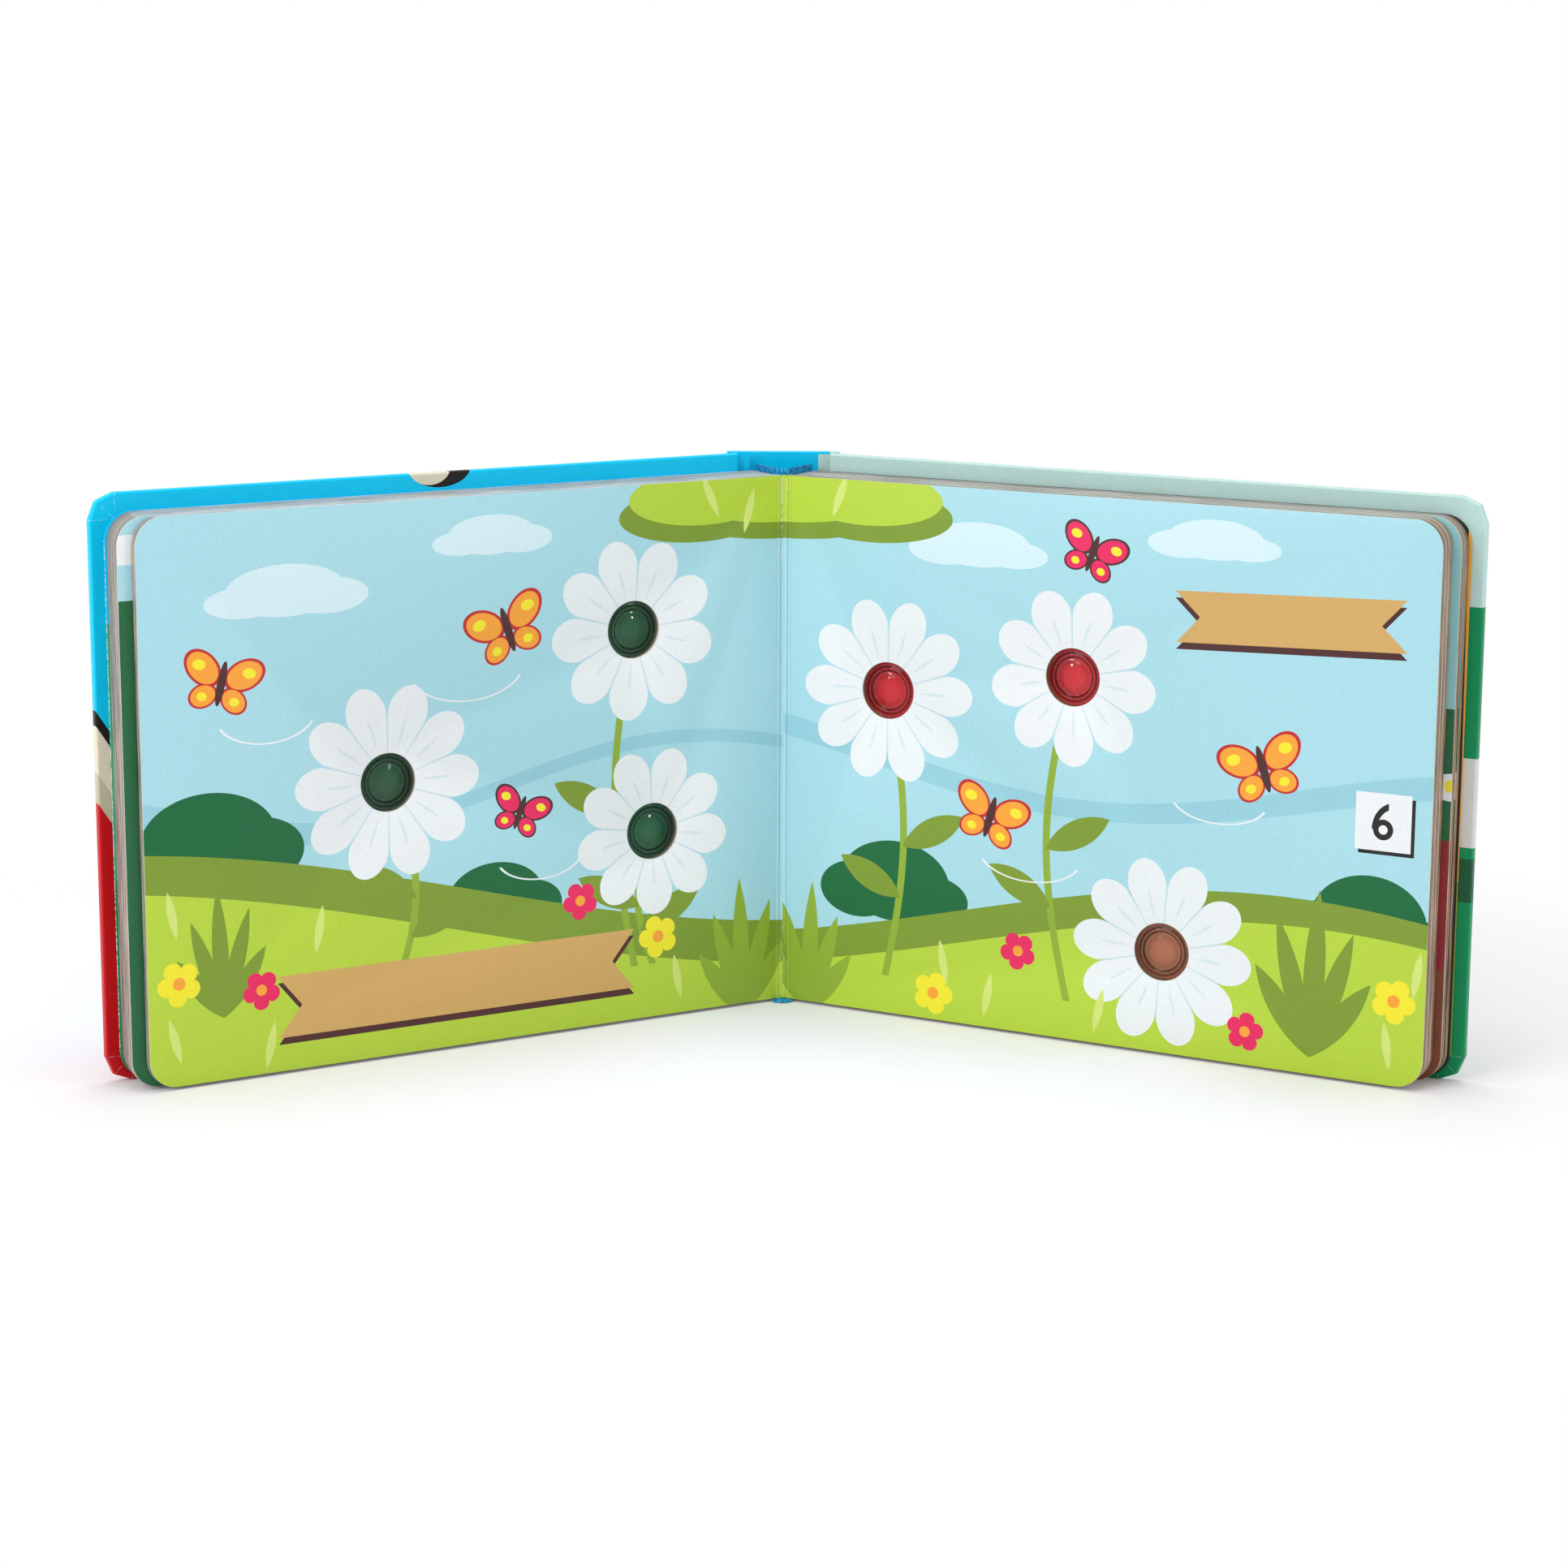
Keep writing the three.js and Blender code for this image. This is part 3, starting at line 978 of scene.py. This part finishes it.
def wrap_front(sheet):
    """Blue, with slanting fields in the lower outer corner and a patch at the head."""
    tree = sheet.tree
    slant = calc(tree, "MULTIPLY_ADD", sheet.across, -1.55, sheet.up)
    paper = BLUE
    for limit, colour in SLANTS:
        paper = lay(tree, paper, calc(tree, "LESS_THAN", slant, limit), colour)
    paper = lay(tree, paper, inside(sheet, oval(sheet, 128, 204, 12, 7)), BLACK)
    return lay(tree, paper, inside(sheet, oval(sheet, 132, 204, 8, 6)), CREAM)


def wrap_back(sheet):
    """Pale green over green, with one white and one dark band."""
    tree = sheet.tree
    paper = lay(tree, PALE_GREEN, calc(tree, "LESS_THAN", sheet.up, 165), GREEN)
    paper = lay(tree, paper, calc(tree, "COMPARE", sheet.up, 97.5, 15.5), WRAP_WHITE)
    return lay(tree, paper, calc(tree, "COMPARE", sheet.up, 70.5, 7.6), DARK_GREEN)


def crease_glints_and_wear(sheet, paper):
    """Pale creases where the wrap folds over the corners: wear and painted glints."""
    tree = sheet.tree
    out = calc(tree, "ADD", sheet.across, -CORNER_MIDDLE_ACROSS)
    middle, half = COVER_HEIGHT / 2, COVER_HEIGHT / 2 - COVER_CORNER
    high = calc(tree, "ABSOLUTE", calc(tree, "ADD", sheet.up, page_foot / MM - middle))
    rise = calc(tree, "ADD", high, -half)
    fleck = feed(tree, "TexNoise", sheet.flat, None, 0.9, 3.0, 0.6)
    wide = feed(tree, "MapRange", fleck, 0.47, 0.75, 0.0, 0.3)
    mitre = calc(tree, "COMPARE", out, rise, wide)
    facet = calc(tree, "MINIMUM", calc(tree, "ABSOLUTE", out), calc(tree, "ABSOLUTE", rise))
    facet = calc(tree, "LESS_THAN", facet, calc(tree, "MULTIPLY", wide, 0.7))
    line = calc(tree, "MAXIMUM", mitre, facet)
    corner = calc(tree, "GREATER_THAN", out, -0.5)
    corner = both(sheet, corner, calc(tree, "GREATER_THAN", rise, -0.5))
    # painted highlight and wear: pale lines where the folds catch the light and have rubbed
    return lay(tree, paper, calc(tree, "MULTIPLY", both(sheet, line, corner), 0.6), COATING)


def wrap_material(side):
    material, tree, shader = new_material(PREFIX[side] + "_wrap")
    sheet = Sheet(tree, side)
    paper = wrap_front(sheet) if side == FRONT else wrap_back(sheet)
    finish_board(tree, shader, crease_glints_and_wear(sheet, paper), bump=0.06, **WRAP_FINISH)
    return material


def spine_material():
    """Blue, with the back cover's pale green starting near one edge."""
    material, tree, shader = new_material("spine_wrap")
    coords = tree.nodes.new("ShaderNodeTexCoord")
    apart = tree.nodes.new("ShaderNodeSeparateXYZ")
    tree.links.new(coords.outputs["Object"], apart.inputs[0])
    edge = calc(tree, "GREATER_THAN", apart.outputs[0], SPINE_GREEN_FROM)
    paper = lay(tree, BLUE, edge, PALE_GREEN)
    finish_board(tree, shader, paper, bump=0.03, **WRAP_FINISH)
    return material


def paste_material(side):
    """A printed sheet: the front one torn white at its edge, the back one dark inside it."""
    material, tree, shader = new_material(PREFIX[side] + "_paste_down")
    sheet = Sheet(tree, side)
    top, bottom = PASTE_INKS[side]
    paper = lay(tree, top, calc(tree, "LESS_THAN", sheet.up, 70), bottom)
    if side == FRONT:
        paper = lay(tree, paper, calc(tree, "GREATER_THAN", sheet.up, 158), BLUE)
        rough = feed(tree, "TexNoise", sheet.flat, None, 0.8, 4.0, 0.7)
        torn = calc(tree, "MULTIPLY_ADD", rough, -1.6, PASTE_REACH + 0.75)
        paper = lay(tree, paper, calc(tree, "GREATER_THAN", sheet.across, torn), COATING)
    else:
        bare = feed(tree, "MapRange", sheet.up, 110, 190, PASTE_REACH - 0.3, PASTE_REACH - 1.3)
        paper = lay(tree, paper, calc(tree, "LESS_THAN", sheet.across, bare), BLACK)
    finish_board(tree, shader, paper, 0.42)
    return material


def lining_material():
    """A textured blue bookbinder's paper with a fine crossed tooth."""
    material, tree, shader = new_material("lining_paper")
    place = tree.nodes.new("ShaderNodeTexCoord").outputs["Object"]
    weave = feed(tree, "TexVoronoi", place, None, 900.0)
    light = feed(tree, "MapRange", weave, 0.1, 0.7, 1.0, 0.0)
    colour = lay(tree, ink(0, 108, 170), light, ink(16, 190, 242))
    tree.links.new(colour, shader.inputs["Base Color"])
    shader.inputs["Roughness"].default_value = 0.8
    roughen(tree, shader, weave, 0.8, 0.0008)
    return material


# %% Merged copies of the plain solids, most with soft edges


def dress(node, name, body, look, width):
    """A merged copy of a solid, its edges softened when a width is given, in the solid's place."""
    bpy.ops.object.select_all(action="DESELECT")
    piece = bpy.data.objects.new(name, frame["nodes"][node].data.copy())
    bpy.context.scene.collection.objects.link(piece)
    only(piece)
    bpy.ops.object.mode_set(mode="EDIT")
    bpy.ops.mesh.select_all(action="SELECT")
    bpy.ops.mesh.remove_doubles(threshold=SAME_PLACE)
    bpy.ops.mesh.dissolve_limited(angle_limit=math.radians(1))
    bpy.ops.object.mode_set(mode="OBJECT")
    if width > 0:
        soften(piece, width)
    give(piece, look)
    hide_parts(node)
    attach(piece, body)


PAPER_EDGE = 0.1 * MM
SPINE_EDGE = 0.3 * MM
wrap_looks = {side: wrap_material(side) for side in (FRONT, BACK)}
for side in (FRONT, BACK):
    prefix, body = PREFIX[side], BODY[side]
    dress(prefix + "_cover", prefix + "_board", body, wrap_looks[side], 0.0)
    paste_look = paste_material(side)
    dress(
        prefix + "_paste_down", prefix + "_endpaper", body, paste_look, PAPER_EDGE
    )
dress("spine", "spine_board", "spine", spine_material(), SPINE_EDGE)
dress("centre_fold", "fold_strip", "binding", page_looks[BACK], PAPER_EDGE)

# %% [markdown]
# ## What crosses the gutter
# Two printed skins close the score lines, and the blue lining folds round behind them. A sheet
# is a grid whose columns follow a path seen from above, given its thickness by Solidify.

# %% Sheets that follow a path
SHEET_ROWS = 12
SKIN_THICK = 0.04 * MM
SKIN_LIFT = -0.05  # millimetres in front of the page
SKIN_MIDDLE = ((0, 0.20), (0.3, 0.18), (0.6, 0.06))  # millimetres from the gutter, on the strip
LINING_THICK = 0.65 * MM
LINING_BACK = 1.5 * MM
LINING_ACROSS = 0.5
LINING_DEPTHS = (3.2, 5, 9, 14, 18.4)


def in_book(side, across, depth):
    """A place in a half, in millimetres, as the book's own X and Y."""
    point = half_frame(side) @ Vector((side * across * MM, depth * MM, 0))
    return (point.x, point.y)


def folded_sheet(name, path, foot, head, thick):
    """A sheet through the path's points from foot to head, thickened away from the reader."""
    columns = len(path) - 1
    bpy.ops.object.select_all(action="DESELECT")
    bpy.ops.mesh.primitive_grid_add(x_subdivisions=columns, y_subdivisions=SHEET_ROWS, size=1)
    sheet = bpy.context.object
    sheet.name = name
    for vertex in sheet.data.vertices:
        x, y = path[round((vertex.co.x + 0.5) * columns)]
        vertex.co = (x, y, foot + (head - foot) * (vertex.co.y + 0.5))
    thickness = sheet.modifiers.new("thickness", "SOLIDIFY")
    thickness.thickness = thick
    thickness.offset = -1
    only(sheet)
    bpy.ops.object.modifier_apply(modifier=thickness.name)
    bpy.ops.object.shade_smooth_by_angle(angle=SHEET_SMOOTH)
    return sheet


def cross_gutter(piece, look):
    """Gives the piece its look and bakes its place into its mesh."""
    give(piece, look)
    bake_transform(piece)


lining_look = lining_material()
for side in (FRONT, BACK):
    skin_path = [(side * x * MM, score_y + y * MM) for x, y in SKIN_MIDDLE]
    skin_path += [in_book(side, across, SKIN_LIFT) for across in (0.1, 0.5, 1.2, 2.0)]
    lining_path = [(0, score_y + LINING_BACK), (side * 0.8 * MM, score_y + 1.6 * MM)]
    lining_path += [in_book(side, LINING_ACROSS, depth) for depth in LINING_DEPTHS]
    if side == FRONT:
        skin_path.reverse()
        lining_path.reverse()
    skin = folded_sheet(
        PREFIX[side] + "_score_skin", skin_path, page_foot, page_head, SKIN_THICK
    )
    cross_gutter(skin, page_looks[side])
    low, high = (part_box(PREFIX[side] + "_spine_lining")[i].z for i in (0, 1))
    lining = folded_sheet(PREFIX[side] + "_lining", lining_path, low, high, LINING_THICK)
    cross_gutter(lining, lining_look)
    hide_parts(PREFIX[side] + "_spine_lining")

# %% The lining's foot under the gutter
TOE_RADIUS = 3.4 * MM
TOE_THICK = 0.6 * MM
TOE_EDGE = 0.15 * MM

bpy.ops.object.select_all(action="DESELECT")
bpy.ops.mesh.primitive_cylinder_add(
    vertices=48,
    radius=TOE_RADIUS,
    depth=TOE_THICK,
    location=(0, score_y - 1.2 * MM, 0.45 * MM),
)
toe = bpy.context.object
toe.name = "lining_foot"
toe.scale = (1.2, 1, 1)
bpy.ops.object.transform_apply(location=True, rotation=False, scale=True)
soften(toe, TOE_EDGE)
give(toe, lining_look)
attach(toe, "binding")

# %% [markdown]
# ## The wrap's joints
# Between the spine and each cover the wrap has no board. It is a thin strip from the cover's edge
# that lies in the hollow as the book stands and closes the groove by the spine when it is shut.

# %% The strips
JOINT_STRIP = ((2.2, 20.0), (3.0, 20.3), (4.0, 20.9), (5.2, 21.7), (6.2, 22.3), (6.9, 22.5))
JOINT_THICK = 0.15 * MM
JOINT_INSET = 0.5 * MM
cover_low, cover_high = (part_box("front_cover")[i].z for i in (0, 1))
for side in (FRONT, BACK):
    strip_path = [in_book(side, across, depth) for across, depth in JOINT_STRIP]
    if side == FRONT:
        strip_path.reverse()
    strip = folded_sheet(
        PREFIX[side] + "_wrap_joint",
        strip_path,
        cover_low + JOINT_INSET,
        cover_high - JOINT_INSET,
        JOINT_THICK,
    )
    give(strip, wrap_looks[side])
    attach(strip, BODY[side])

# %% [markdown]
# ## Floor and light
# The photograph was taken in a white studio: big soft lamps and a pale floor that fades into the
# white behind. Near the book the floor is lit, so it takes the soft shadow, and further away it
# glows white by itself for the camera. Two small low lamps put the glints on the clear buttons.

# %% Floor, lamps and world
FLOOR_SIZE = 8
FLOOR_DROP = 0.0002
GLOW_FROM, GLOW_TO = 0.26, 0.42
GLOW_AT_BOOK = 0.06
SKY_LIGHT = 0.63


def seen_by_camera(tree):
    """1 where the camera looks, straight or through the clear film."""
    path = tree.nodes.new("ShaderNodeLightPath").outputs
    return calc(tree, "MAXIMUM", path["Is Camera Ray"], path["Is Transmission Ray"])


def floor_material():
    material, tree, shader = new_material("studio_floor")
    shader.inputs["Base Color"].default_value = (0.86, 0.845, 0.872, 1)
    shader.inputs["Roughness"].default_value = 0.9
    shader.inputs["Specular IOR Level"].default_value = 0.1
    glow = feed(tree, "Emission", (1, 1, 1, 1), 1.0)
    place = tree.nodes.new("ShaderNodeTexCoord").outputs["Object"]
    away = feed(tree, "VectorMath", place, operation="LENGTH", out=1)
    far = feed(tree, "MapRange", away, GLOW_FROM, GLOW_TO, GLOW_AT_BOOK, 1.0)
    share = calc(tree, "MULTIPLY", far, seen_by_camera(tree))
    mixed = feed(tree, "MixShader", share, shader.outputs[0], glow)
    tree.links.new(mixed, tree.nodes["Material Output"].inputs["Surface"])
    return material


bpy.ops.object.select_all(action="DESELECT")
bpy.ops.mesh.primitive_plane_add(size=FLOOR_SIZE, location=(0, 0, -FLOOR_DROP))
floor = bpy.context.object
floor.name = "studio_floor"
floor.data.materials.append(floor_material())


def softbox(name, place, size, power):
    """A round lamp that looks at the book's middle."""
    bpy.ops.object.light_add(type="AREA", location=place)
    lamp = bpy.context.object
    lamp.name = name
    lamp.data.shape = "DISK"
    lamp.data.size = size
    lamp.data.energy = power
    lamp.rotation_mode = "QUATERNION"
    lamp.rotation_quaternion = (LOOK_AT - Vector(place)).to_track_quat("-Z", "Y")


softbox("key_light", (-1.2, -1.25, 1.25), 1.1, 11.5)
softbox("right_glint", (1.15, -0.75, 0.5), 0.13, 2.6)
softbox("left_glint", (-1.15, -0.75, 0.5), 0.13, 2.6)
softbox("top_light", (0.0, 0.1, 1.8), 1.6, 15)

world = bpy.data.worlds.new("studio")
bpy.context.scene.world = world
world.use_nodes = True
tree = world.node_tree
lit = feed(tree, "MapRange", seen_by_camera(tree), 0.0, 1.0, SKY_LIGHT, 1.0)
backdrop = tree.nodes["Background"]
backdrop.inputs["Color"].default_value = (1, 1, 1, 1)
tree.links.new(lit, backdrop.inputs["Strength"])
bpy.context.scene.view_settings.view_transform = "Standard"
